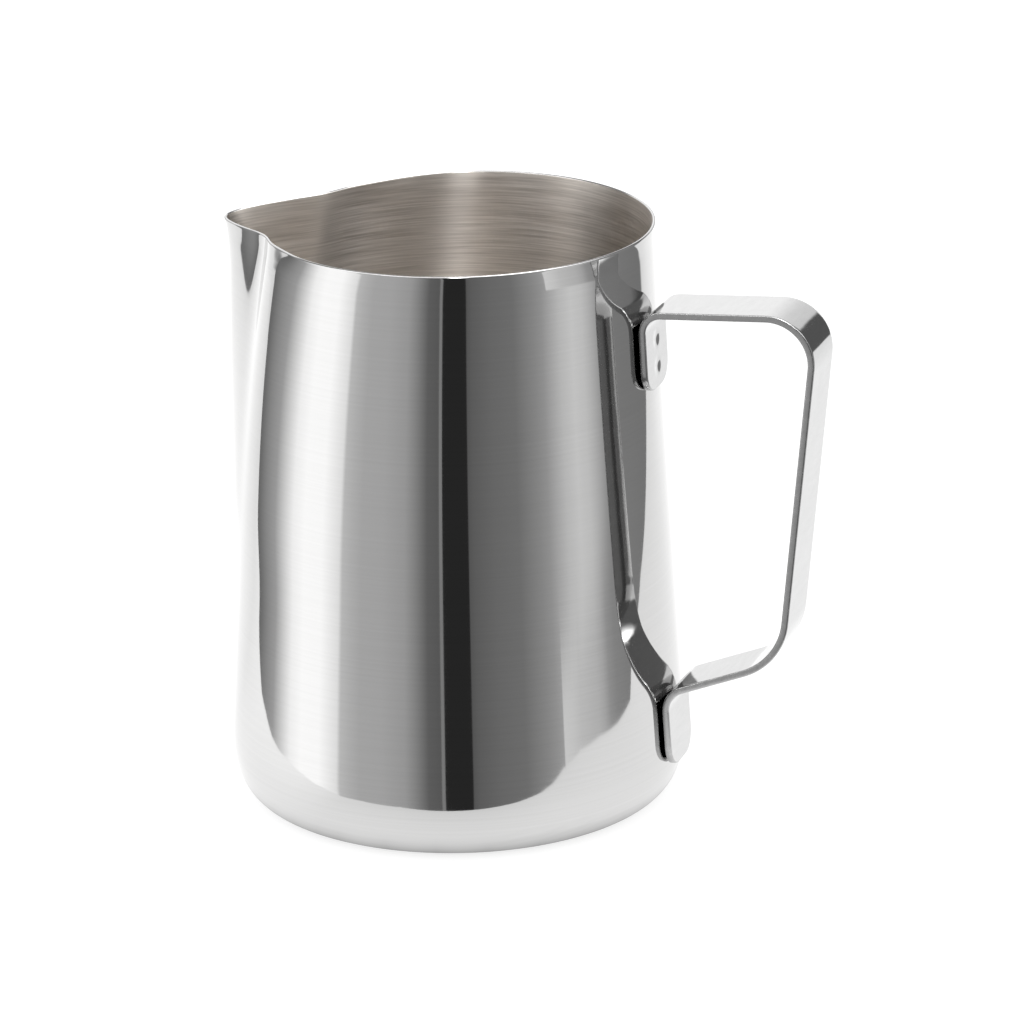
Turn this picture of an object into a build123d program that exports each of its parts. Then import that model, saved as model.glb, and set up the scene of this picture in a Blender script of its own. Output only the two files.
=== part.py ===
"""Milk frothing pitcher: one drawn stainless body, a bent strap handle and the spot welds between them.

Millimetres. The origin is on the body's axis, in the plane that it stands on. +Z is up, +X points to
the handle and -X to the spout, and the XZ plane is the plane of symmetry.
"""

from build123d import *
import math
import os

os.makedirs("parts", exist_ok=True)

# Body: the bell-shaped wall
HEIGHT = 155.0            # standing plane to rim
WALL = 0.8                # sheet thickness
NECK_RADIUS = 53.1        # outside, just under the rim
NECK_Z = 150.0            # where the wall stops narrowing
BELL_RADIUS = 60.35       # outside, just above the bottom corner
BELL_Z = 16.0
BELL_CURVE = 1.15         # 1 is a plain cone, more gives a hollower flank
CORNER_HEIGHT = 18.0      # the rounded bottom corner
CORNER_INSET = 10.7
CORNER_POWER = 2.29       # 2 is an ellipse, more is squarer

# Body: the base
RECESS_RADIUS = 43.0      # the standing ring lies outside this
RECESS_DEPTH = 1.0

# Body: the spout, as a change of the wall's radius over the angle from the nose (degrees)
CREST = 2.05              # the nose itself
CREST_ANGLE = 11.6
NOSE_BLUNTNESS = 3.0      # 2 is a round nose, more is blunter
BOW = 8.04                # the broad swelling behind it
BOW_ANGLE = 38.5
VALLEY = 2.6              # the hollow flanks beside the nose
VALLEY_ANGLE = 26.4
VALLEY_SPREAD = 9.8
SPOUT_FOOT_Z = 47.4       # the spout starts here
SPOUT_FULL_Z = 156.2      # and would have its full height here, just past the rim
SPOUT_RISE = 0.8
SPOUT_FADE = 0.355
PINCH = 7.58              # the rim's sides, drawn in where the nose is pushed out
PINCH_ANGLE = 25.1
PINCH_FRONT_SPREAD = 22.3
PINCH_BACK_SPREAD = 47.6
PINCH_POWER = 3.34        # how late the pinch comes on towards the rim

# Body: the rim
RIM_FLARE = 0.35
RIM_FLARE_HEIGHT = 7.0    # how far under the rim the flare starts
NOSE_FLARE = 1.15
NOSE_FLARE_ANGLE = 7.0
NOSE_FLARE_HEIGHT = 15.4
NOSE_FLARE_POWER = 1.75
TUCK = 1.0                # the rim's edge, drawn in a little more beside the nose
TUCK_ANGLE = 44.4
TUCK_SPREAD = 11.6
TUCK_HEIGHT = 8.0
RIM_DROP = 2.47           # the rim falls from the axis to the nose by this much
NOSE_REACH = 63.0         # over this distance

# Handle strap
STRAP_WIDTH = 18.5
STRAP_THICKNESS = 1.8
STRAP_TOP_CORNER = (100.8, 138.6)    # where the centre lines of two straight runs would meet
STRAP_LOW_CORNER = (91.7, 45.5)
TOP_RUN_SLOPE = 0.051                # rises away from the body
LOW_RUN_SLOPE = 0.386
BEND_AT_TOP_FOOT = 5.1               # centre-line bend radii
BEND_AT_TOP_CORNER = 11.6
BEND_AT_LOW_CORNER = 17.7
BEND_AT_LOW_FOOT = 6.4
TOP_FOOT_END_Z = 114.9
TOP_FOOT_TANGENT_Z = 123.0           # the flat foot touches the wall at this height
LOW_FOOT_END_Z = 12.8
LOW_FOOT_TANGENT_Z = 20.0
FOOT_GAP = 0.1                       # along the line where foot and wall are closest
FOOT_CORNER = 6.0
STRAP_EDGE = 0.35                    # broken long edges

# Spot welds
WELD_RADIUS = 2.2
WELD_IN_WALL = 0.4
WELD_IN_STRAP = 1.1
DENT_DEPTH = 0.3
DENT_RADIUS = 2.6
TOP_WELD_Z = (120.5, 127.6)
LOW_WELD_Z = (16.6, 23.6)

# How finely the wall's sections are drawn
SECTION_POINTS = 34
SECTION_CROWDING = 1.6               # points crowd towards the nose
CORNER_SECTIONS = 9
WALL_SECTION_Z = (
    22, 30, 40, 48, 54, 60, 66, 72, 79, 87, 97, 108, 119,
    129, 136, 140, 143, 146, 148.5, 150.5, 152.5, 154.5, 157,
)


def smoother(t):
    """0 to 1 with no kink in slope or curvature at either end."""
    t = min(max(t, 0.0), 1.0)
    return t**3 * (10.0 - 15.0 * t + 6.0 * t * t)


def bell_radius(z):
    """Outside radius of the plain wall, without its bottom corner."""
    drop = max(NECK_Z - z, 0.0) / (NECK_Z - BELL_Z)
    return NECK_RADIUS + (BELL_RADIUS - NECK_RADIUS) * drop**BELL_CURVE


def corner_inset(z, floor):
    """How far the rounded corner draws the wall in, above a floor at this height."""
    depth = min(max(CORNER_HEIGHT - z, 0.0) / (CORNER_HEIGHT - floor), 1.0)
    return CORNER_INSET * (1.0 - (1.0 - depth**CORNER_POWER) ** (1.0 / CORNER_POWER))


def spout_growth(z):
    """0 under the spout, 1 where it has its full height."""
    rise = max(z - SPOUT_FOOT_Z, 0.0) / (SPOUT_FULL_Z - SPOUT_FOOT_Z)
    return rise**SPOUT_RISE * smoother(rise / SPOUT_FADE)


def bump(angle, centre, spread, power=2.0):
    return math.exp(-abs((angle - centre) / spread) ** power)


def spout_shape(angle):
    """Change of radius over the angle from the nose, at the spout's full height."""
    nose = CREST * bump(angle, 0, CREST_ANGLE, NOSE_BLUNTNESS)
    valleys = bump(angle, VALLEY_ANGLE, VALLEY_SPREAD) + bump(angle, -VALLEY_ANGLE, VALLEY_SPREAD)
    return nose + BOW * bump(angle, 0, BOW_ANGLE) - VALLEY * valleys


def pinch(angle, z):
    """How far the wall beside the spout is drawn in, most at the rim."""
    spread = PINCH_FRONT_SPREAD if abs(angle) < PINCH_ANGLE else PINCH_BACK_SPREAD
    return PINCH * (z / HEIGHT) ** PINCH_POWER * bump(abs(angle), PINCH_ANGLE, spread)


def near_rim(under_rim, height, power):
    """0 further under the rim than this height, then growing to 1 at the rim."""
    return (max(height - under_rim, 0.0) / height) ** power


def rim_shape(angle, under_rim):
    """Change of radius close to the rim: a faint flare, a stronger one at the nose, a tuck beside it."""
    flare = RIM_FLARE * near_rim(under_rim, RIM_FLARE_HEIGHT, 3)
    nose = NOSE_FLARE * near_rim(under_rim, NOSE_FLARE_HEIGHT, NOSE_FLARE_POWER)
    nose *= bump(angle, 0, NOSE_FLARE_ANGLE, NOSE_BLUNTNESS)
    tuck = TUCK * near_rim(under_rim, TUCK_HEIGHT, 2) * bump(abs(angle), TUCK_ANGLE, TUCK_SPREAD)
    return flare + nose - tuck


def rim_z(x):
    """Height of the rim over the plan position, lower towards the nose."""
    return HEIGHT - RIM_DROP * (max(-x, 0.0) / NOSE_REACH) ** 2


def wall_radius(angle, z, inset=0.0):
    """Radius of the wall's outer face, or of its inner face's base curve, at an angle from the nose."""
    radius = bell_radius(z) - inset - corner_inset(z, inset)
    radius += spout_growth(z) * spout_shape(angle) - pinch(angle, z)
    under_rim = rim_z(-radius * math.cos(math.radians(angle))) - z
    return radius + rim_shape(angle, under_rim)


def wall_point(angle, z, inset):
    """A point of a section; the inner face lies one sheet thickness inside, along the normal."""
    step = 0.01
    radius = wall_radius(angle, z, 0.0) - corner_inset(z, inset) + corner_inset(z, 0.0)
    slope = (wall_radius(angle + step, z) - wall_radius(angle - step, z)) / math.radians(2 * step)
    turn = math.radians(angle) - math.atan2(slope, radius)
    x = -radius * math.cos(math.radians(angle)) + inset * math.cos(turn)
    y = radius * math.sin(math.radians(angle)) - inset * math.sin(turn)
    return x, y


def section(z, inset):
    """Closed outline of the wall at one height, as two mirrored halves that meet at nose and handle."""
    angles = [180 * (k / SECTION_POINTS) ** SECTION_CROWDING for k in range(SECTION_POINTS + 1)]
    plan = [wall_point(angle, z, inset) for angle in angles]
    near = [Vector(x, y, z) for x, y in plan]
    near[0] = Vector(near[0].X, 0, z)
    near[-1] = Vector(near[-1].X, 0, z)
    far = [Vector(point.X, -point.Y, z) for point in reversed(near)]
    one = Edge.make_spline(near, tangents=[Vector(0, 1, 0), Vector(0, -1, 0)], scale=False)
    other = Edge.make_spline(far, tangents=[Vector(0, -1, 0), Vector(0, 1, 0)], scale=False)
    return Wire([one, other])


def wall_solid(inset):
    """Everything inside the wall's outer face (inset 0) or inner face, from its floor to past the rim."""
    steps = [0.5 * math.pi * k / CORNER_SECTIONS for k in range(CORNER_SECTIONS + 1)]
    corner = [inset + (CORNER_HEIGHT - inset) * (1.0 - math.cos(step)) for step in steps]
    return Solid.make_loft([section(z, inset) for z in (*corner, *WALL_SECTION_Z)])


def disc(radius, low, high, lean):
    """Round plate from low to high whose side leans in towards the top."""
    outline = Polyline((0, low), (radius, low), (radius - lean, high), (0, high), close=True)
    return revolve(Plane.XZ * make_face(outline), Axis.Z)


def above_rim():
    """Everything above the rim's curve, to trim the wall with."""
    far = NOSE_REACH + 10
    end = (-far, rim_z(-far))
    start = (0, HEIGHT)
    handle = (2 * far, HEIGHT)
    fall = Bezier(start, (end[0] / 2, HEIGHT), end)
    outside = Polyline(end, (-far, HEIGHT + 20), (2 * far, HEIGHT + 20), handle, start)
    return extrude(Plane.XZ * make_face(fall + outside), 2 * far, both=True)


def make_body():
    hollow = wall_solid(WALL) - disc(RECESS_RADIUS + WALL, WALL, WALL + RECESS_DEPTH, RECESS_DEPTH)
    outside = wall_solid(0) - disc(RECESS_RADIUS, 0, RECESS_DEPTH, RECESS_DEPTH)
    return outside - hollow - above_rim()


def wall_slope(z):
    return bell_radius(z + 0.5) - bell_radius(z - 0.5)


def foot_x(z, tangent_z):
    """Centre line of a flat foot that is tangent to the wall at one height."""
    stand_off = FOOT_GAP + STRAP_THICKNESS / 2
    return bell_radius(tangent_z) + wall_slope(tangent_z) * (z - tangent_z) + stand_off


def foot_corner(corner, run_slope, tangent_z):
    """Where a straight run from a corner of the handle meets a foot's centre line."""
    lean = wall_slope(tangent_z)
    start = foot_x(0, tangent_z)
    z = (corner[1] + run_slope * (start - corner[0])) / (1 - run_slope * lean)
    return foot_x(z, tangent_z), z


def make_strap():
    points = [
        (foot_x(TOP_FOOT_END_Z, TOP_FOOT_TANGENT_Z), TOP_FOOT_END_Z),
        foot_corner(STRAP_TOP_CORNER, TOP_RUN_SLOPE, TOP_FOOT_TANGENT_Z),
        STRAP_TOP_CORNER,
        STRAP_LOW_CORNER,
        foot_corner(STRAP_LOW_CORNER, LOW_RUN_SLOPE, LOW_FOOT_TANGENT_Z),
        (foot_x(LOW_FOOT_END_Z, LOW_FOOT_TANGENT_Z), LOW_FOOT_END_Z),
    ]
    bends = [BEND_AT_TOP_FOOT, BEND_AT_TOP_CORNER, BEND_AT_LOW_CORNER, BEND_AT_LOW_FOOT]
    path = FilletPolyline(*[Vector(x, 0, z) for x, z in points], radius=bends)
    start = Plane(origin=path @ 0, x_dir=(0, 1, 0), z_dir=path % 0)
    strap = sweep(start * Rectangle(STRAP_WIDTH, STRAP_THICKNESS), path)
    ends = [path @ 0, path @ 1]
    across = strap.edges().filter_by(lambda edge: abs(edge.length - STRAP_THICKNESS) < 0.01)
    corners = [e for e in across if min((e.center() - end).length for end in ends) < STRAP_WIDTH / 2 + 1]
    strap = fillet(corners, FOOT_CORNER)
    long_edges = strap.edges().filter_by(lambda edge: abs(edge.length - STRAP_THICKNESS) > 0.01)
    return fillet(long_edges, STRAP_EDGE)


def weld_plane(z, tangent_z):
    """On the wall's outer face, looking out along the foot's normal."""
    lean = wall_slope(tangent_z)
    x = foot_x(z, tangent_z) - FOOT_GAP - STRAP_THICKNESS / 2
    return Plane(origin=(x, 0, z), x_dir=(0, 1, 0), z_dir=(1, 0, -lean))


def make_welds(heights, tangent_z):
    length = WELD_IN_WALL + FOOT_GAP + WELD_IN_STRAP
    welds = []
    for z in heights:
        nugget = Cylinder(WELD_RADIUS, length, align=(Align.CENTER, Align.CENTER, Align.MIN))
        welds.append(weld_plane(z, tangent_z) * Pos(0, 0, -WELD_IN_WALL) * nugget)
    return welds


def make_dents(heights, tangent_z):
    """Spherical caps that press a shallow dent into the strap's outer face over each weld."""
    ball = (DENT_RADIUS**2 + DENT_DEPTH**2) / (2 * DENT_DEPTH)
    bottom = FOOT_GAP + STRAP_THICKNESS - DENT_DEPTH
    cap = Pos(0, 0, bottom + ball) * Sphere(ball) & Pos(0, 0, bottom) * Cylinder(DENT_RADIUS, 4 * DENT_DEPTH)
    return [weld_plane(z, tangent_z) * cap for z in heights]


top_welds = make_welds(TOP_WELD_Z, TOP_FOOT_TANGENT_Z)
low_welds = make_welds(LOW_WELD_Z, LOW_FOOT_TANGENT_Z)
dents = make_dents(TOP_WELD_Z, TOP_FOOT_TANGENT_Z) + make_dents(LOW_WELD_Z, LOW_FOOT_TANGENT_Z)

body = make_body()
strap = make_strap()
for weld in top_welds + low_welds:
    body = body - weld
    strap = strap - weld
for dent in dents:
    strap = strap - dent

export_step(body, "parts/pitcher_body.step")
export_step(strap, "parts/handle_strap.step")
export_step(Compound(top_welds), "parts/upper_spot_welds.step")
export_step(Compound(low_welds), "parts/lower_spot_welds.step")
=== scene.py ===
"""Looks of the milk frothing pitcher, in metres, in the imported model's own frame.

The origin is on the body's axis, in the plane that the pitcher stands on. +Z is up, +X points to the
handle and -X to the spout. The drawn body and the strap handle are rebuilt here as fine meshes from
the formulas that the CAD uses, because a mirror finish shows every facet.
"""

import math

import bpy
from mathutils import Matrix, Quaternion, Vector


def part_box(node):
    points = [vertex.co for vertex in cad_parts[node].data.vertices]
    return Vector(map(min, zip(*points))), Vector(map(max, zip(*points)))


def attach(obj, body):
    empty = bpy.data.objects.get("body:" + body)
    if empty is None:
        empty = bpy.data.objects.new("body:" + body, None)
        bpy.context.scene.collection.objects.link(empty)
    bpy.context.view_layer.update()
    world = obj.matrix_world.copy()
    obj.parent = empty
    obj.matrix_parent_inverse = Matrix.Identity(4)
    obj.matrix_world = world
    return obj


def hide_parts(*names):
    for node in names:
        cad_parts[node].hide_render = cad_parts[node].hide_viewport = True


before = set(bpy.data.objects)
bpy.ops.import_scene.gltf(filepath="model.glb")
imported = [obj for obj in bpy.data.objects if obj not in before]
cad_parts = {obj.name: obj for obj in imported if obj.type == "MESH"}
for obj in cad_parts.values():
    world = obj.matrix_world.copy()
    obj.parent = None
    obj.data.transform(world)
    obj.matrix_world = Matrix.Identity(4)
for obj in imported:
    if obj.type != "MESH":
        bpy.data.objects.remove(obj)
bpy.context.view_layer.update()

BODY_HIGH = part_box("pitcher_body")[1]
STRAP_LOW, STRAP_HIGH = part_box("handle_strap")

# Body: the bell-shaped wall
HEIGHT = BODY_HIGH.z
WALL = 0.0008
NECK_RADIUS = 0.0531
NECK_Z = 0.150
BELL_RADIUS = 0.06035
BELL_Z = 0.016
BELL_CURVE = 1.15
CORNER_HEIGHT = 0.018
CORNER_INSET = 0.0107
CORNER_POWER = 2.29

# Body: the base
RECESS_EDGE = 0.0416         # the raised panel ends here
RECESS_BLEND = 0.0016        # and slopes down to the standing ring over this
RECESS_DEPTH = 0.001

# Body: the spout, as a change of the wall's radius over the angle from the nose (degrees)
CREST = 0.00205
CREST_ANGLE = 11.6
NOSE_BLUNTNESS = 3.0
BOW = 0.00804
BOW_ANGLE = 38.5
VALLEY = 0.0026
VALLEY_ANGLE = 26.4
VALLEY_SPREAD = 9.8
SPOUT_FOOT_Z = 0.0474
SPOUT_FULL_Z = 0.1562
SPOUT_RISE = 0.8
SPOUT_FADE = 0.355
PINCH = 0.00758
PINCH_ANGLE = 25.1
PINCH_FRONT_SPREAD = 22.3
PINCH_BACK_SPREAD = 47.6
PINCH_POWER = 3.34

# Body: the rim
RIM_FLARE = 0.00035
RIM_FLARE_HEIGHT = 0.007
NOSE_FLARE = 0.00115
NOSE_FLARE_ANGLE = 7.0
NOSE_FLARE_HEIGHT = 0.0154
NOSE_FLARE_POWER = 1.75
TUCK = 0.001
TUCK_ANGLE = 44.4
TUCK_SPREAD = 11.6
TUCK_HEIGHT = 0.008
RIM_DROP = 0.00247
NOSE_REACH = 0.063
RIM_ROUND = 0.00035          # height of the polished edge's rounding

# Handle strap, its centre line in the XZ plane
STRAP_HALF_WIDTH = (STRAP_HIGH.y - STRAP_LOW.y) / 2
STRAP_HALF_THICKNESS = 0.0009
STRAP_TOP_CORNER = (0.1008, 0.1386)
STRAP_LOW_CORNER = (0.0917, 0.0455)
TOP_RUN_SLOPE = 0.051
LOW_RUN_SLOPE = 0.386
BENDS = (0.0051, 0.0116, 0.0177, 0.0064)
TOP_FOOT_END_Z = 0.1149
TOP_FOOT_TANGENT_Z = 0.123
LOW_FOOT_END_Z = STRAP_LOW.z
LOW_FOOT_TANGENT_Z = 0.020
FOOT_GAP = 0.0001
FOOT_CORNER = 0.006
STRAP_EDGE = 0.00035
DENT_DEPTH = 0.0003
DENT_RADIUS = 0.0026
TOP_WELD_Z = (0.1205, 0.1276)
LOW_WELD_Z = (0.0166, 0.0236)

# How fine the meshes are
BODY_COLUMNS = 320
BODY_CROWDING = 1.2          # columns crowd towards the nose
WALL_ROWS = 96
WALL_CROWDING = 1.35         # rows crowd towards the rim
CORNER_ROWS = 22
RIM_ROWS = 7
STRAP_STEP = 0.0006
STRAP_ROWS = 30
EDGE_ROWS = 4


# ---------------------------------------------------------------- the drawn body's shape

def smoother(t):
    """0 to 1 with no kink in slope or curvature at either end."""
    t = min(max(t, 0.0), 1.0)
    return t**3 * (10.0 - 15.0 * t + 6.0 * t * t)


def bell_radius(z):
    """Outside radius of the plain wall, without its bottom corner."""
    drop = max(NECK_Z - z, 0.0) / (NECK_Z - BELL_Z)
    return NECK_RADIUS + (BELL_RADIUS - NECK_RADIUS) * drop**BELL_CURVE


def corner_inset(z, floor):
    """How far the rounded corner draws the wall in, above a floor at this height."""
    depth = min(max(CORNER_HEIGHT - z, 0.0) / (CORNER_HEIGHT - floor), 1.0)
    return CORNER_INSET * (1.0 - (1.0 - depth**CORNER_POWER) ** (1.0 / CORNER_POWER))


def spout_growth(z):
    """0 under the spout, 1 where it has its full height."""
    rise = max(z - SPOUT_FOOT_Z, 0.0) / (SPOUT_FULL_Z - SPOUT_FOOT_Z)
    return rise**SPOUT_RISE * smoother(rise / SPOUT_FADE)


def bump(angle, centre, spread, power=2.0):
    return math.exp(-abs((angle - centre) / spread) ** power)


def spout_shape(angle):
    """Change of radius over the angle from the nose, at the spout's full height."""
    nose = CREST * bump(angle, 0, CREST_ANGLE, NOSE_BLUNTNESS)
    valleys = bump(angle, VALLEY_ANGLE, VALLEY_SPREAD) + bump(angle, -VALLEY_ANGLE, VALLEY_SPREAD)
    return nose + BOW * bump(angle, 0, BOW_ANGLE) - VALLEY * valleys


def pinch(angle, z):
    """How far the wall beside the spout is drawn in, most at the rim."""
    spread = PINCH_FRONT_SPREAD if abs(angle) < PINCH_ANGLE else PINCH_BACK_SPREAD
    return PINCH * (z / HEIGHT) ** PINCH_POWER * bump(abs(angle), PINCH_ANGLE, spread)


def near_rim(under_rim, height, power):
    """0 further under the rim than this height, then growing to 1 at the rim."""
    return (max(height - under_rim, 0.0) / height) ** power


def rim_shape(angle, under_rim):
    """Change of radius close to the rim: a faint flare, a stronger one at the nose, a tuck beside it."""
    flare = RIM_FLARE * near_rim(under_rim, RIM_FLARE_HEIGHT, 3)
    nose = NOSE_FLARE * near_rim(under_rim, NOSE_FLARE_HEIGHT, NOSE_FLARE_POWER)
    nose *= bump(angle, 0, NOSE_FLARE_ANGLE, NOSE_BLUNTNESS)
    tuck = TUCK * near_rim(under_rim, TUCK_HEIGHT, 2) * bump(abs(angle), TUCK_ANGLE, TUCK_SPREAD)
    return flare + nose - tuck


def rim_z(x):
    """Height of the rim over the plan position, lower towards the nose."""
    return HEIGHT - RIM_DROP * (max(-x, 0.0) / NOSE_REACH) ** 2


def wall_radius(angle, z):
    """Radius of the wall's outer face at an angle from the nose."""
    radius = bell_radius(z) - corner_inset(z, 0.0)
    radius += spout_growth(z) * spout_shape(angle) - pinch(angle, z)
    under_rim = rim_z(-radius * math.cos(math.radians(angle))) - z
    return radius + rim_shape(angle, under_rim)


def wall_point(angle, z, inset):
    """A point of the wall; the inner face lies one sheet thickness inside, along the normal."""
    step = 0.01
    radius = wall_radius(angle, z) - corner_inset(z, inset) + corner_inset(z, 0.0)
    slope = (wall_radius(angle + step, z) - wall_radius(angle - step, z)) / math.radians(2 * step)
    turn = math.radians(angle) - math.atan2(slope, radius)
    x = -radius * math.cos(math.radians(angle)) + inset * math.cos(turn)
    y = radius * math.sin(math.radians(angle)) - inset * math.sin(turn)
    return Vector((x, y, z))


def wall_top(angle):
    """Height of the rim at an angle from the nose."""
    z = HEIGHT
    for _ in range(5):
        z = rim_z(-wall_radius(angle, z) * math.cos(math.radians(angle)))
    return z


def base_point(angle, share, floor):
    """A point of the base; share 0 is its centre and 1 where the rounded corner starts."""
    edge = wall_point(angle, floor, floor)
    radius = edge.xy.length * share
    panel = 1.0 - smoother((radius - RECESS_EDGE) / RECESS_BLEND)
    return Vector((edge.x * share, edge.y * share, floor + RECESS_DEPTH * panel))


def base_shares(edge_radius):
    """Row positions over the base: a few over the panel, many over the step to the standing ring."""
    step_rows = [RECESS_EDGE + RECESS_BLEND * k / 6 for k in range(7)]
    radii = [0.0005, 0.004, 0.012, 0.022, 0.032, 0.0385, *step_rows, 0.0452, 0.0475]
    return [radius / edge_radius for radius in radii]


def corner_heights(floor):
    """Row heights over the rounded corner, from the floor up."""
    steps = [0.5 * math.pi * k / CORNER_ROWS for k in range(CORNER_ROWS + 1)]
    drops = [math.cos(step) ** (2 / CORNER_POWER) for step in steps]
    return [CORNER_HEIGHT - (CORNER_HEIGHT - floor) * drop for drop in drops]


def wall_heights(top):
    """Row heights from above the rounded corner to just under the rim, closer together near the rim."""
    shares = [k / WALL_ROWS for k in range(1, WALL_ROWS + 1)]
    wall = top - RIM_ROUND - CORNER_HEIGHT
    return [CORNER_HEIGHT + wall * (1 - (1 - s) ** WALL_CROWDING) for s in shares]


def body_column(angle):
    """Points from the middle of the underside, up the outside, over the rim and down to the floor."""
    top = wall_top(angle)
    plain_radius = wall_radius(180.0, 0.0)
    shares = base_shares(plain_radius)
    outside = [base_point(angle, share, 0.0) for share in shares]
    outside += [wall_point(angle, z, 0.0) for z in corner_heights(0.0) + wall_heights(top)]
    inside = [base_point(angle, share, WALL) for share in shares]
    inside += [wall_point(angle, z, WALL) for z in corner_heights(WALL) + wall_heights(top)]
    middle, reach = (outside[-1] + inside[-1]) / 2, (outside[-1] - inside[-1]) / 2
    rim = []
    for k in range(1, RIM_ROWS):
        turn = math.pi * k / RIM_ROWS
        rim.append(middle + reach * math.cos(turn) + Vector((0, 0, RIM_ROUND * math.sin(turn))))
    return outside + rim + inside[::-1], len(outside) + len(rim)


# ---------------------------------------------------------------- mesh helpers

def make_mesh(name, points, faces):
    mesh = bpy.data.meshes.new(name)
    mesh.from_pydata(points, [], faces)
    mesh.update()
    mesh.shade_smooth()
    piece = bpy.data.objects.new(name, mesh)
    bpy.context.scene.collection.objects.link(piece)
    return piece


def make_body():
    """The whole drawn body as one closed shell, its inside faces in the second material slot."""
    half = BODY_COLUMNS // 2
    turns = [k / half for k in range(-half, half)]
    angles = [math.copysign(180 * abs(turn) ** BODY_CROWDING, turn) for turn in turns]
    columns = [body_column(angle) for angle in angles]
    rows, first_inside = len(columns[0][0]), columns[0][1]
    points = [point for column, _ in columns for point in column]
    low = len(points)
    points += [Vector((0, 0, RECESS_DEPTH)), Vector((0, 0, WALL + RECESS_DEPTH))]
    faces, inside = [], []
    for i in range(BODY_COLUMNS):
        a, b = i * rows, (i + 1) % BODY_COLUMNS * rows
        for j in range(rows - 1):
            faces.append((a + j, a + j + 1, b + j + 1, b + j))
            inside.append(j >= first_inside - 1)
        faces.append((low, a, b))
        inside.append(False)
        faces.append((low + 1, b + rows - 1, a + rows - 1))
        inside.append(True)
    body = make_mesh("drawn_body", points, faces)
    body.data.polygons.foreach_set("material_index", [int(flag) for flag in inside])
    return body


# ---------------------------------------------------------------- the strap's shape

def wall_slope(z):
    step = 0.0005
    return (bell_radius(z + step) - bell_radius(z - step)) / (2 * step)


def foot_x(z, tangent_z):
    """Centre line of a flat foot that is tangent to the wall at one height."""
    stand_off = FOOT_GAP + STRAP_HALF_THICKNESS
    return bell_radius(tangent_z) + wall_slope(tangent_z) * (z - tangent_z) + stand_off


def foot_corner(corner, run_slope, tangent_z):
    """Where a straight run from a corner of the handle meets a foot's centre line."""
    lean = wall_slope(tangent_z)
    start = foot_x(0, tangent_z)
    z = (corner[1] + run_slope * (start - corner[0])) / (1 - run_slope * lean)
    return foot_x(z, tangent_z), z


def strap_line():
    """The strap's centre line as (length, start, direction, turn per length) pieces in the XZ plane."""
    corners = [
        (foot_x(TOP_FOOT_END_Z, TOP_FOOT_TANGENT_Z), TOP_FOOT_END_Z),
        foot_corner(STRAP_TOP_CORNER, TOP_RUN_SLOPE, TOP_FOOT_TANGENT_Z),
        STRAP_TOP_CORNER,
        STRAP_LOW_CORNER,
        foot_corner(STRAP_LOW_CORNER, LOW_RUN_SLOPE, LOW_FOOT_TANGENT_Z),
        (foot_x(LOW_FOOT_END_Z, LOW_FOOT_TANGENT_Z), LOW_FOOT_END_Z),
    ]
    points = [Vector(corner) for corner in corners]
    pieces, start = [], points[0]
    for k, radius in enumerate(BENDS, 1):
        into = (points[k] - points[k - 1]).normalized()
        away = (points[k + 1] - points[k]).normalized()
        turn = math.atan2(into.x * away.y - into.y * away.x, into.dot(away))
        cut = radius * math.tan(abs(turn) / 2)
        bend_start = points[k] - into * cut
        pieces.append(((bend_start - start).length, start, into, 0.0))
        pieces.append((radius * abs(turn), bend_start, into, math.copysign(1 / radius, turn)))
        start = points[k] + away * cut
    last = points[-1] - start
    pieces.append((last.length, start, last.normalized(), 0.0))
    return pieces


def on_strap(line, along, across, out):
    """A point of the strap: along its centre line, across its width, and out towards the fingers."""
    for length, start, direction, bend in line:
        if along <= length or (length, start) == (line[-1][0], line[-1][1]):
            break
        along -= length
    if bend:
        turn = along * bend
        side = Vector((-direction.y, direction.x))
        place = start + direction * math.sin(turn) / bend + side * (1 - math.cos(turn)) / bend
        direction = direction * math.cos(turn) + side * math.sin(turn)
    else:
        place = start + direction * along
    return Vector((place.x + out * direction.y, across, place.y - out * direction.x))


def strap_columns(total):
    """(along, half width, outline normal) over the strap's flat faces, inside the rounded edges."""
    arc = FOOT_CORNER - STRAP_EDGE
    steps = [0.5 * math.pi * k / 12 for k in range(13)]
    foot = []
    for step in steps:
        half = STRAP_HALF_WIDTH - FOOT_CORNER + arc * math.sin(step)
        foot.append((FOOT_CORNER - arc * math.cos(step), half, -math.cos(step), math.sin(step)))
    straight = total - 2 * FOOT_CORNER
    count = round(straight / STRAP_STEP)
    middle = [(FOOT_CORNER + straight * k / count, foot[-1][1], 0.0, 1.0) for k in range(1, count)]
    far = [(total - along, half, -lean, rise) for along, half, lean, rise in reversed(foot)]
    return foot + middle + far


def dent(along, across, centres):
    """Depth of the spot welds' dents at a point of the strap's finger side."""
    depth = 0.0
    for centre in centres:
        away = math.hypot(along - centre, across) / DENT_RADIUS
        depth += DENT_DEPTH * (1 - smoother(away / 1.25))
    return depth


def face_outline(count):
    """(column, row) round a flat face: up one side, over the far end, down the other side and back."""
    outline = [(i, STRAP_ROWS) for i in range(count)]
    outline += [(count - 1, j) for j in range(STRAP_ROWS - 1, -1, -1)]
    outline += [(i, 0) for i in range(count - 2, -1, -1)]
    return outline + [(0, j) for j in range(1, STRAP_ROWS)]


def edge_profile():
    """(reach, out) over a rounded edge, from the finger side to the body side."""
    profile = []
    for k in range(1, EDGE_ROWS + 1):
        turn = 0.5 * math.pi * k / EDGE_ROWS
        reach = STRAP_EDGE * math.sin(turn)
        profile.append((reach, STRAP_HALF_THICKNESS - STRAP_EDGE * (1 - math.cos(turn))))
    return profile + [(reach, -out) for reach, out in reversed(profile)]


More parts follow.
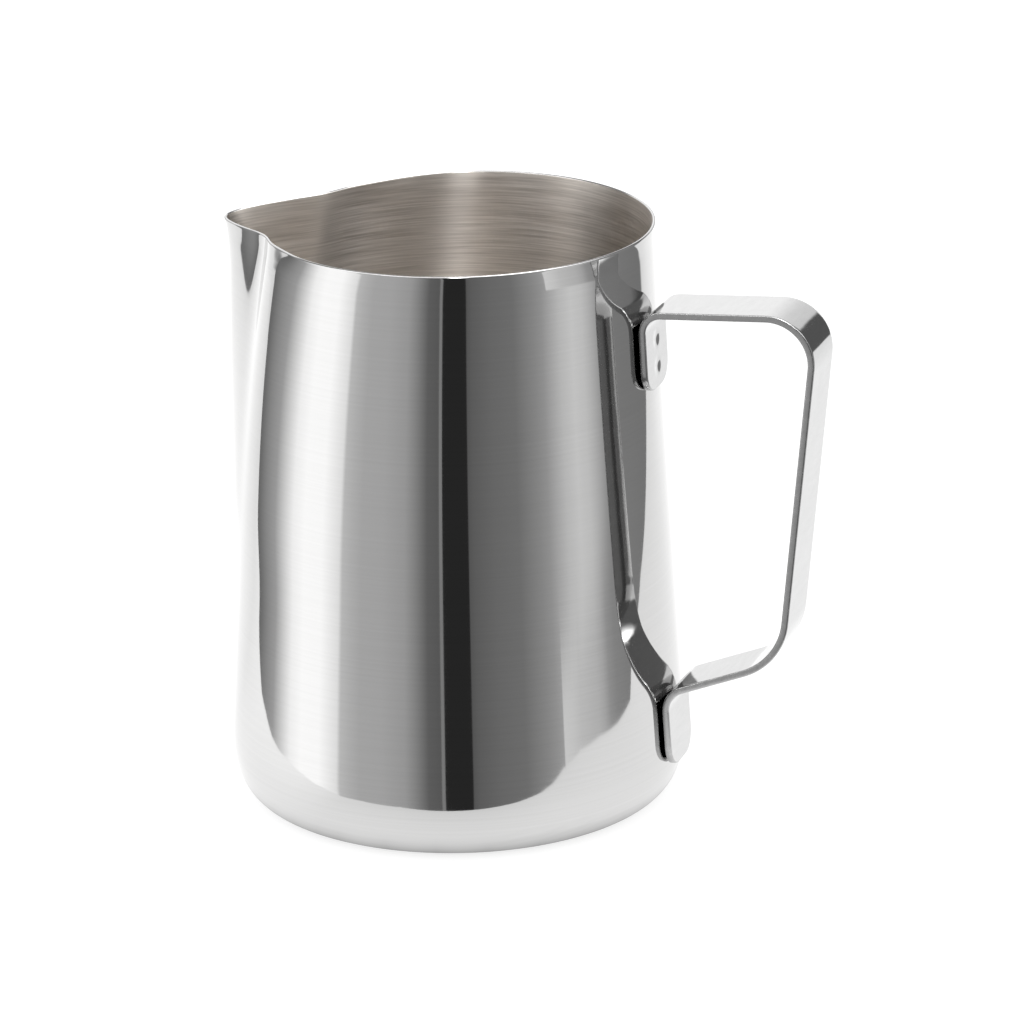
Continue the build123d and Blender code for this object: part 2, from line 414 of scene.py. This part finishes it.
def make_strap():
    """The bent strap, dented over its spot welds, its rounded edges in the second material slot."""
    line = strap_line()
    total = sum(piece[0] for piece in line)
    columns = strap_columns(total)
    centres = [z - TOP_FOOT_END_Z for z in TOP_WELD_Z] + [total - (z - LOW_FOOT_END_Z) for z in LOW_WELD_Z]
    points, faces = [], []
    rows = STRAP_ROWS + 1
    for side in (1, -1):
        for along, half, _, _ in columns:
            for j in range(rows):
                across = half * (2 * j / STRAP_ROWS - 1)
                out = side * STRAP_HALF_THICKNESS - (dent(along, across, centres) if side > 0 else 0)
                points.append(on_strap(line, along, across, out))
    count = len(columns)
    back = count * rows
    for i in range(count - 1):
        for j in range(STRAP_ROWS):
            a, b = i * rows + j, (i + 1) * rows + j
            faces.append((a, a + 1, b + 1, b))
            faces.append((back + a, back + b, back + b + 1, back + a + 1))
    outline = face_outline(count)
    rings = [[i * rows + j for i, j in outline]]
    for reach, out in edge_profile():
        ring = []
        for i, j in outline:
            along, half, lean, rise = columns[i]
            across = half * (2 * j / STRAP_ROWS - 1)
            if 0 < j < STRAP_ROWS:
                lean, rise = (-1.0, 0.0) if i == 0 else (1.0, 0.0)
            rise = math.copysign(rise, across)
            ring.append(len(points))
            points.append(on_strap(line, along + lean * reach, across + rise * reach, out))
        rings.append(ring)
    rings.append([back + i * rows + j for i, j in outline])
    around, flat_faces = len(outline), len(faces)
    for upper, lower in zip(rings, rings[1:]):
        for k in range(around):
            n = (k + 1) % around
            faces.append((upper[k], lower[k], lower[n], upper[n]))
    strap = make_mesh("bent_strap", points, faces)
    strap.data.polygons.foreach_set("material_index", [int(k >= flat_faces) for k in range(len(faces))])
    return strap


# ---------------------------------------------------------------- materials

SMUDGE_SCALE = (28.0, 28.0, 22.0)        # per metre
SCUFF_SCALE = (900.0, 900.0, 300.0)
SCUFF_ROUGHNESS = 0.22                   # added at the very foot
STRAP_GRAIN_SCALE = (700.0, 160.0, 700.0)
STRAP_GRAIN_DEPTH = 0.0000003
STRAP_WAVE_SCALE = (95.0, 95.0, 95.0)
WELD_TINT_SCALE = (600.0, 600.0, 600.0)
WELD_TINT_DEPTH = 0.00002


def node_kit(tree):
    """Short ways to add a node and to join sockets."""
    def add(kind, **inputs):
        node = tree.nodes.new(kind)
        for key, value in inputs.items():
            node.inputs[key.replace("_", " ")].default_value = value
        return node
    return add, tree.links.new


def add_noise(tree, scale, detail, source):
    """Noise on the object's own coordinates, stretched by scale (x, y, z) per metre."""
    add, link = node_kit(tree)
    mapping = add("ShaderNodeMapping", Scale=scale)
    link(source, mapping.inputs["Vector"])
    noise = add("ShaderNodeTexNoise", Scale=1.0, Detail=detail, Roughness=0.6)
    link(mapping.outputs["Vector"], noise.inputs["Vector"])
    return noise.outputs["Fac"]


def add_range(tree, source, low, high, out_low, out_high):
    add, link = node_kit(tree)
    node = add("ShaderNodeMapRange", From_Min=low, From_Max=high, To_Min=out_low, To_Max=out_high)
    link(source, node.inputs["Value"])
    return node.outputs["Result"]


def add_colours(tree, source, stops):
    add, link = node_kit(tree)
    ramp = add("ShaderNodeValToRGB")
    elements = ramp.color_ramp.elements
    while len(elements) < len(stops):
        elements.new(0.5)
    for element, (place, colour) in zip(elements, stops):
        element.position = place
        element.color = (*colour, 1.0)
    link(source, ramp.inputs["Fac"])
    return ramp.outputs["Color"]


def add_sum(tree, first, second, operation="ADD"):
    add, link = node_kit(tree)
    node = add("ShaderNodeMath")
    node.operation = operation
    link(first, node.inputs[0])
    if isinstance(second, float):
        node.inputs[1].default_value = second
    else:
        link(second, node.inputs[1])
    return node.outputs["Value"]


def steel_material(name, dark, light, rough, lines, line_depth, smudge, anisotropy, worn_below=None):
    """Stainless steel with fine lines along the object's circumference.

    dark and light are the colours that streaks vary between, rough the lowest and highest roughness,
    lines the streaks' (x, y, z) frequency per metre and line_depth their height in metres.
    """
    material = bpy.data.materials.new(name)
    material.use_nodes = True
    tree = material.node_tree
    add, link = node_kit(tree)
    shader = tree.nodes["Principled BSDF"]
    shader.inputs["Metallic"].default_value = 1.0
    shader.inputs["Anisotropic"].default_value = anisotropy
    shader.inputs["Anisotropic Rotation"].default_value = 0.25
    place = add("ShaderNodeTexCoord").outputs["Object"]
    streaks = add_noise(tree, lines, 3.0, place)
    clouds = add_noise(tree, SMUDGE_SCALE, 4.0, place)
    link(add_colours(tree, streaks, [(0.3, dark), (0.7, light)]), shader.inputs["Base Color"])
    roughness = add_range(tree, streaks, 0.3, 0.7, *rough)
    smudges = add_range(tree, clouds, 0.45, 0.75, 0.0, smudge)
    roughness = add_sum(tree, roughness, smudges)
    if worn_below is not None:
        parts = add("ShaderNodeSeparateXYZ")
        link(place, parts.inputs["Vector"])
        worn = add_range(tree, parts.outputs["Z"], 0.0, worn_below, SCUFF_ROUGHNESS, 0.0)
        scuffs = add_noise(tree, SCUFF_SCALE, 2.0, place)
        roughness = add_sum(tree, roughness, add_sum(tree, worn, scuffs, "MULTIPLY"))
    link(roughness, shader.inputs["Roughness"])
    grooves = add("ShaderNodeBump", Strength=1.0, Distance=line_depth)
    link(streaks, grooves.inputs["Height"])
    link(grooves.outputs["Normal"], shader.inputs["Normal"])
    tangent = add("ShaderNodeTangent")
    tangent.direction_type = "RADIAL"
    tangent.axis = "Z"
    link(tangent.outputs["Tangent"], shader.inputs["Tangent"])
    return material


def strap_material(name, dark, light, rough, wave):
    """Tumble-polished strip: close to a mirror, faintly wavy."""
    material = bpy.data.materials.new(name)
    material.use_nodes = True
    tree = material.node_tree
    add, link = node_kit(tree)
    shader = tree.nodes["Principled BSDF"]
    shader.inputs["Metallic"].default_value = 1.0
    place = add("ShaderNodeTexCoord").outputs["Object"]
    grain = add_noise(tree, STRAP_GRAIN_SCALE, 3.0, place)
    waves = add_noise(tree, STRAP_WAVE_SCALE, 1.5, place)
    link(add_colours(tree, grain, [(0.3, dark), (0.7, light)]), shader.inputs["Base Color"])
    link(add_range(tree, grain, 0.3, 0.7, *rough), shader.inputs["Roughness"])
    swell = add_sum(tree, waves, wave, "MULTIPLY")
    scratches = add_sum(tree, grain, STRAP_GRAIN_DEPTH, "MULTIPLY")
    height = add_sum(tree, swell, scratches)
    surface = add("ShaderNodeBump", Strength=1.0, Distance=1.0)
    link(height, surface.inputs["Height"])
    link(surface.outputs["Normal"], shader.inputs["Normal"])
    return material


def weld_material():
    """Fused metal with a straw and blue heat tint that fades from spot to spot."""
    material = bpy.data.materials.new("weld_steel")
    material.use_nodes = True
    tree = material.node_tree
    add, link = node_kit(tree)
    shader = tree.nodes["Principled BSDF"]
    shader.inputs["Metallic"].default_value = 1.0
    place = add("ShaderNodeTexCoord").outputs["Object"]
    tint = add_noise(tree, WELD_TINT_SCALE, 4.0, place)
    stops = [(0.3, (0.42, 0.40, 0.38)), (0.5, (0.55, 0.49, 0.38)), (0.7, (0.40, 0.42, 0.48))]
    link(add_colours(tree, tint, stops), shader.inputs["Base Color"])
    link(add_range(tree, tint, 0.3, 0.7, 0.35, 0.55), shader.inputs["Roughness"])
    surface = add("ShaderNodeBump", Strength=1.0, Distance=WELD_TINT_DEPTH)
    link(tint, surface.inputs["Height"])
    link(surface.outputs["Normal"], shader.inputs["Normal"])
    return material


# ---------------------------------------------------------------- studio

# Brightness of the studio walls over the compass, as (degrees, value) with straight lines between.
# LEFT_WALL to MIDDLE_WALL, and TABLE below, are not a designed light setup. Scratch programs sent photo
# brightnesses and edges through the wall as mirror rays, and these lists were written from what they
# printed, rounded and then tuned. HIGH_WALL, TOP_WALL and CEILING were set and tuned to the photo.
LEFT_WALL = [
    (-180, 0.50), (-171, 1.05), (-166, 1.36), (-158, 1.52), (-146, 1.50), (-140, 1.30), (-135, 1.14),
    (-133, 0.75), (-128, 0.66), (-122, 0.58), (-110, 0.56), (-98, 0.48), (-93, 0.36), (-86, 0.17),
    (-79.6, 0.145), (-79.4, 0.30), (-77.9, 0.30), (-77.7, 0.028), (-64.2, 0.028), (-63.8, 0.14), (-61, 0.165),
    (-50, 0.21), (-37, 0.24), (-25, 0.37), (-20, 0.44),
]
BACK_WALL = [
    (62, 0.24), (64, 1.00), (90, 1.25), (118, 1.45), (130, 1.40), (143, 1.22), (155, 1.10), (161.9, 0.98),
    (162.3, 0.19), (166, 0.24), (172, 0.36),
]
LOW_WALL = LEFT_WALL + [
    (-9, 0.74), (-1, 0.86), (6, 0.80), (10, 0.70), (14, 0.58), (18, 0.44), (23, 0.31), (30, 0.28),
] + BACK_WALL
FOOT_WALL = LEFT_WALL + [
    (-16.6, 0.50), (-16.2, 0.93), (-11, 0.86), (-6, 0.76), (5, 0.66), (9, 0.57), (13, 0.42), (18, 0.35),
    (30, 0.30),
] + BACK_WALL
MIDDLE_LEFT = [
    (-180, 0.50), (-171, 1.05), (-158, 1.48), (-146, 1.48), (-128, 0.71), (-98, 0.48), (-86, 0.20),
    (-76.8, 0.10), (-64.6, 0.10), (-37, 0.24), (-15, 0.58), (0, 0.60), (16, 0.40), (50, 0.33),
    (60, 0.12), (73.5, 0.12),
]
LEVEL_WALL = MIDDLE_LEFT + [
    (75, 0.32), (100, 0.32), (108, 1.12), (120, 1.12), (126, 0.40), (160, 0.40), (162.3, 0.19), (172, 0.36),
]
MIDDLE_WALL = MIDDLE_LEFT + [
    (75, 0.85), (90, 0.95), (98, 1.10), (106, 1.22), (118, 1.22), (143, 1.15), (161.9, 0.98),
    (162.3, 0.19), (172, 0.36),
]
HIGH_WALL = [
    (-180, 0.2), (-166, 0.4), (-158, 2.6), (-144, 2.6), (-138, 1.0), (-110, 0.7), (-76, 0.7), (-72, 7.4),
    (-64, 7.4), (-60, 0.6), (-38, 0.6), (-24, 1.4), (0, 2.2), (34, 2.2), (45, 0.18), (125, 0.2), (160, 0.2),
]
TOP_WALL = [
    (-180, 0.3), (-166, 0.9), (-158, 6.0), (-144, 6.0), (-138, 2.2), (-110, 1.6), (-76, 1.8), (-72, 17.0),
    (-64, 17.0), (-60, 1.8), (-40, 1.8), (-30, 2.8), (0, 2.9), (40, 3.6), (52, 6.0), (70, 7.0), (88, 5.5),
    (100, 2.6), (125, 0.6), (140, 0.2), (170, 0.2),
]
CEILING = [(-180, 1.8), (180, 1.8)]
UNDER_FLOOR = [(-180, 0.20), (180, 0.20)]    # what a steeply falling reflection sees past the table's edge
# Elevations in degrees where each profile holds, with straight lines between
STUDIO = [
    (-90, UNDER_FLOOR), (-38, UNDER_FLOOR), (-34, FOOT_WALL), (-14.8, FOOT_WALL), (-14.0, LOW_WALL),
    (-6, LOW_WALL), (-5, LEVEL_WALL), (7, LEVEL_WALL), (9, MIDDLE_WALL), (28, MIDDLE_WALL), (31, HIGH_WALL),
    (56, HIGH_WALL), (63, TOP_WALL), (80, TOP_WALL), (86, CEILING), (90, CEILING),
]
STUDIO_RADIUS = 40.0         # far enough off for every point of the pitcher to see the same studio

# The white table's outline in plan with its brightness there: its front edge is close to the pitcher
TABLE = [
    (-0.156, -0.021, 1.33), (-0.141, -0.034, 1.33), (-0.121, -0.048, 1.33), (-0.108, -0.060, 1.33),
    (-0.099, -0.071, 1.33), (-0.083, -0.083, 1.30), (-0.062, -0.092, 1.20), (-0.043, -0.095, 1.05),
    (-0.030, -0.099, 1.02), (-0.003, -0.101, 0.98), (0.021, -0.095, 0.94), (0.044, -0.089, 0.94),
    (0.072, -0.083, 0.98), (0.099, -0.077, 1.02), (0.125, -0.068, 1.02), (0.145, -0.050, 1.04),
    (0.155, -0.025, 1.06), (0.158, 0.005, 1.08), (0.165, 0.035, 1.10), (0.200, 0.065, 1.10),
    (0.232, 0.150, 1.06), (0.245, 0.256, 1.04), (0.262, 0.400, 1.04), (0.280, 0.560, 1.06),
    (0.330, 0.900, 1.12), (0.100, 1.100, 1.25), (-0.300, 1.000, 1.40), (-0.650, 0.600, 1.36),
    (-0.800, 0.300, 1.15), (-0.700, 0.175, 1.05), (-0.458, 0.094, 1.08), (-0.220, 0.014, 1.26),
]
TABLE_MIDDLE = 1.18           # brightness close to the pitcher
TABLE_HOLE = 0.0492
TABLE_SHADE = 0.0075          # how far the shade round the foot reaches
TABLE_SHADE_DEPTH = 0.9       # and how much light it takes away at the foot
TABLE_Z = -0.0002
TABLE_RINGS = (0.0, 0.01, 0.02, 0.03, 0.045, 0.06, 0.09, 0.12, 0.16, 0.22, 0.30, 0.42, 0.56, 0.72, 0.86, 1.0)
FLOOR_Z = -0.0004
FLOOR_REACH = 10.0
FLOOR_WHITE = 0.40
FLOOR_GLOW = 0.76
SKY_STRENGTH = 1.07


def brightness(wall, azimuth):
    """Brightness of a profile at an azimuth, going round past its last entry to its first."""
    around = wall + [(wall[0][0] + 360, wall[0][1])]
    for (start, low), (end, high) in zip(around, around[1:]):
        if azimuth <= end:
            return low + (high - low) * (azimuth - start) / (end - start)
    return wall[0][1]


def only_in_reflections(piece):
    piece.visible_camera = False
    piece.visible_diffuse = False
    piece.visible_shadow = False
    piece.visible_transmission = False
    piece.visible_volume_scatter = False


def studio_material(name):
    """Glow with the brightness that is stored at the mesh's points."""
    material = bpy.data.materials.new(name)
    material.use_nodes = True
    tree = material.node_tree
    tree.nodes.clear()
    add, link = node_kit(tree)
    stored = add("ShaderNodeAttribute")
    stored.attribute_name = "brightness"
    glow = add("ShaderNodeEmission")
    output = add("ShaderNodeOutputMaterial")
    link(stored.outputs["Fac"], glow.inputs["Strength"])
    link(glow.outputs["Emission"], output.inputs["Surface"])
    return material


def ring_faces(rings, around):
    """Faces between closed rings of points that are numbered ring after ring."""
    faces = []
    for i in range(rings - 1):
        for j in range(around):
            n = (j + 1) % around
            faces.append((i * around + j, (i + 1) * around + j, (i + 1) * around + n, i * around + n))
    return faces


def make_glowing(name, light_name, points, levels, faces):
    """A mesh that only reflections see, with a brightness stored at each of its points."""
    piece = make_mesh(name, points, faces)
    piece.data.attributes.new("brightness", "FLOAT", "POINT").data.foreach_set("value", levels)
    piece.data.materials.append(studio_material(light_name))
    only_in_reflections(piece)


def make_studio():
    """A dome of soft boxes and dark gaps that only reflections see."""
    turns = set(range(-180, 180, 6))
    for _, wall in STUDIO:
        turns.update(azimuth for azimuth, _ in wall if azimuth < 180)
    turns = sorted(turns)
    points, levels = [], []
    for elevation, wall in STUDIO:
        up, flat = math.sin(math.radians(elevation)), math.cos(math.radians(elevation))
        for turn in turns:
            angle = math.radians(turn)
            points.append(STUDIO_RADIUS * Vector((flat * math.cos(angle), flat * math.sin(angle), up)))
            levels.append(brightness(wall, turn))
    make_glowing("studio_dome", "studio_light", points, levels, ring_faces(len(STUDIO), len(turns)))


def white_material(name, value, glow):
    """Matt white with a faint mottle, lit from within so that shadows on it stay faint."""
    material = bpy.data.materials.new(name)
    material.use_nodes = True
    tree = material.node_tree
    add, link = node_kit(tree)
    shader = tree.nodes["Principled BSDF"]
    shader.inputs["Roughness"].default_value = 0.9
    shader.inputs["Specular IOR Level"].default_value = 0.0
    shader.inputs["Emission Color"].default_value = (1.0, 1.0, 1.0, 1.0)
    shader.inputs["Emission Strength"].default_value = glow
    mottle = add_noise(tree, (9.0, 9.0, 9.0), 2.0, add("ShaderNodeTexCoord").outputs["Object"])
    stops = [(0.3, (value * 0.995,) * 3), (0.7, (value,) * 3)]
    link(add_colours(tree, mottle, stops), shader.inputs["Base Color"])
    return material


def make_table():
    """The white table that only reflections see, dark where the pitcher's foot shades it."""
    points, levels = [], []
    for reach in TABLE_RINGS:
        for x, y, level in TABLE:
            edge = Vector((x, y))
            place = (edge.normalized() * TABLE_HOLE).lerp(edge, reach)
            points.append(Vector((place.x, place.y, TABLE_Z)))
            away = place.length - TABLE_HOLE
            shade = 1.0 - TABLE_SHADE_DEPTH * math.exp(-((away / TABLE_SHADE) ** 2))
            levels.append((TABLE_MIDDLE + (level - TABLE_MIDDLE) * reach) * shade)
    faces = ring_faces(len(TABLE_RINGS), len(TABLE))
    make_glowing("table_in_reflections", "table_light", points, levels, faces)


def make_floor():
    corners = ((-1, -1), (1, -1), (1, 1), (-1, 1))
    square = [Vector((x * FLOOR_REACH, y * FLOOR_REACH, FLOOR_Z)) for x, y in corners]
    floor = make_mesh("floor", square, [(0, 1, 2, 3)])
    floor.data.materials.append(white_material("floor_white", FLOOR_WHITE, FLOOR_GLOW))
    floor.visible_glossy = False


def make_world():
    world = bpy.data.worlds.new("studio")
    bpy.context.scene.world = world
    world.use_nodes = True
    background = world.node_tree.nodes["Background"]
    background.inputs["Color"].default_value = (1.0, 1.0, 1.0, 1.0)
    background.inputs["Strength"].default_value = SKY_STRENGTH


# ---------------------------------------------------------------- camera

CAMERA_PLACE = Vector((0.4174, -1.1788, 0.4981))
CAMERA_AIM = Vector((0.0145, 0.0042, 0.0754))
CAMERA_ROLL = -0.936
CAMERA_LENS = 175.8
SENSOR = 36.0


def make_camera():
    camera = bpy.data.objects.new("camera", bpy.data.cameras.new("camera"))
    bpy.context.scene.collection.objects.link(camera)
    camera.data.lens = CAMERA_LENS
    camera.data.sensor_width = SENSOR
    camera.data.clip_start = 0.05
    camera.data.clip_end = 50.0
    camera.location = CAMERA_PLACE
    facing = (CAMERA_AIM - CAMERA_PLACE).to_track_quat("-Z", "Y")
    camera.rotation_mode = "QUATERNION"
    camera.rotation_quaternion = facing @ Quaternion((0, 0, 1), math.radians(CAMERA_ROLL))
    bpy.context.scene.camera = camera


# ---------------------------------------------------------------- build

outside = steel_material(
    "polished_outside", (0.612, 0.61, 0.607), (0.634, 0.632, 0.63), (0.035, 0.05),
    (5.0, 5.0, 1400.0), 0.00000004, 0.02, 0.4, worn_below=0.0035,
)
# The inside steel's colours are lighter and warmer than the outside steel's. That is painted light standing
# in for light that bounces about inside the pitcher. Its streaks, roughness and brushed lines are the real
# finish.
inside = steel_material(
    "brushed_inside_painted_light", (0.60, 0.56, 0.515), (0.84, 0.79, 0.74), (0.32, 0.42),
    (45.0, 45.0, 1900.0), 0.000003, 0.04, 0.93,
)

body = make_body()
body.data.materials.append(outside)
body.data.materials.append(inside)
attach(body, "root")
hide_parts("pitcher_body")

strap = make_strap()
strap.data.materials.append(strap_material("strap_steel", (0.60,) * 3, (0.64,) * 3, (0.05, 0.09), 0.00006))
strap.data.materials.append(strap_material("cut_edge_steel", (0.42,) * 3, (0.50,) * 3, (0.16, 0.30), 0.00003))
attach(strap, "root")
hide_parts("handle_strap")

weld = weld_material()
for name in ("upper_spot_welds", "lower_spot_welds"):
    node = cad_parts[name]
    node.data.materials.clear()
    node.data.materials.append(weld)

make_floor()
make_table()
make_studio()
make_world()
make_camera()
bpy.context.scene.view_settings.view_transform = "Standard"
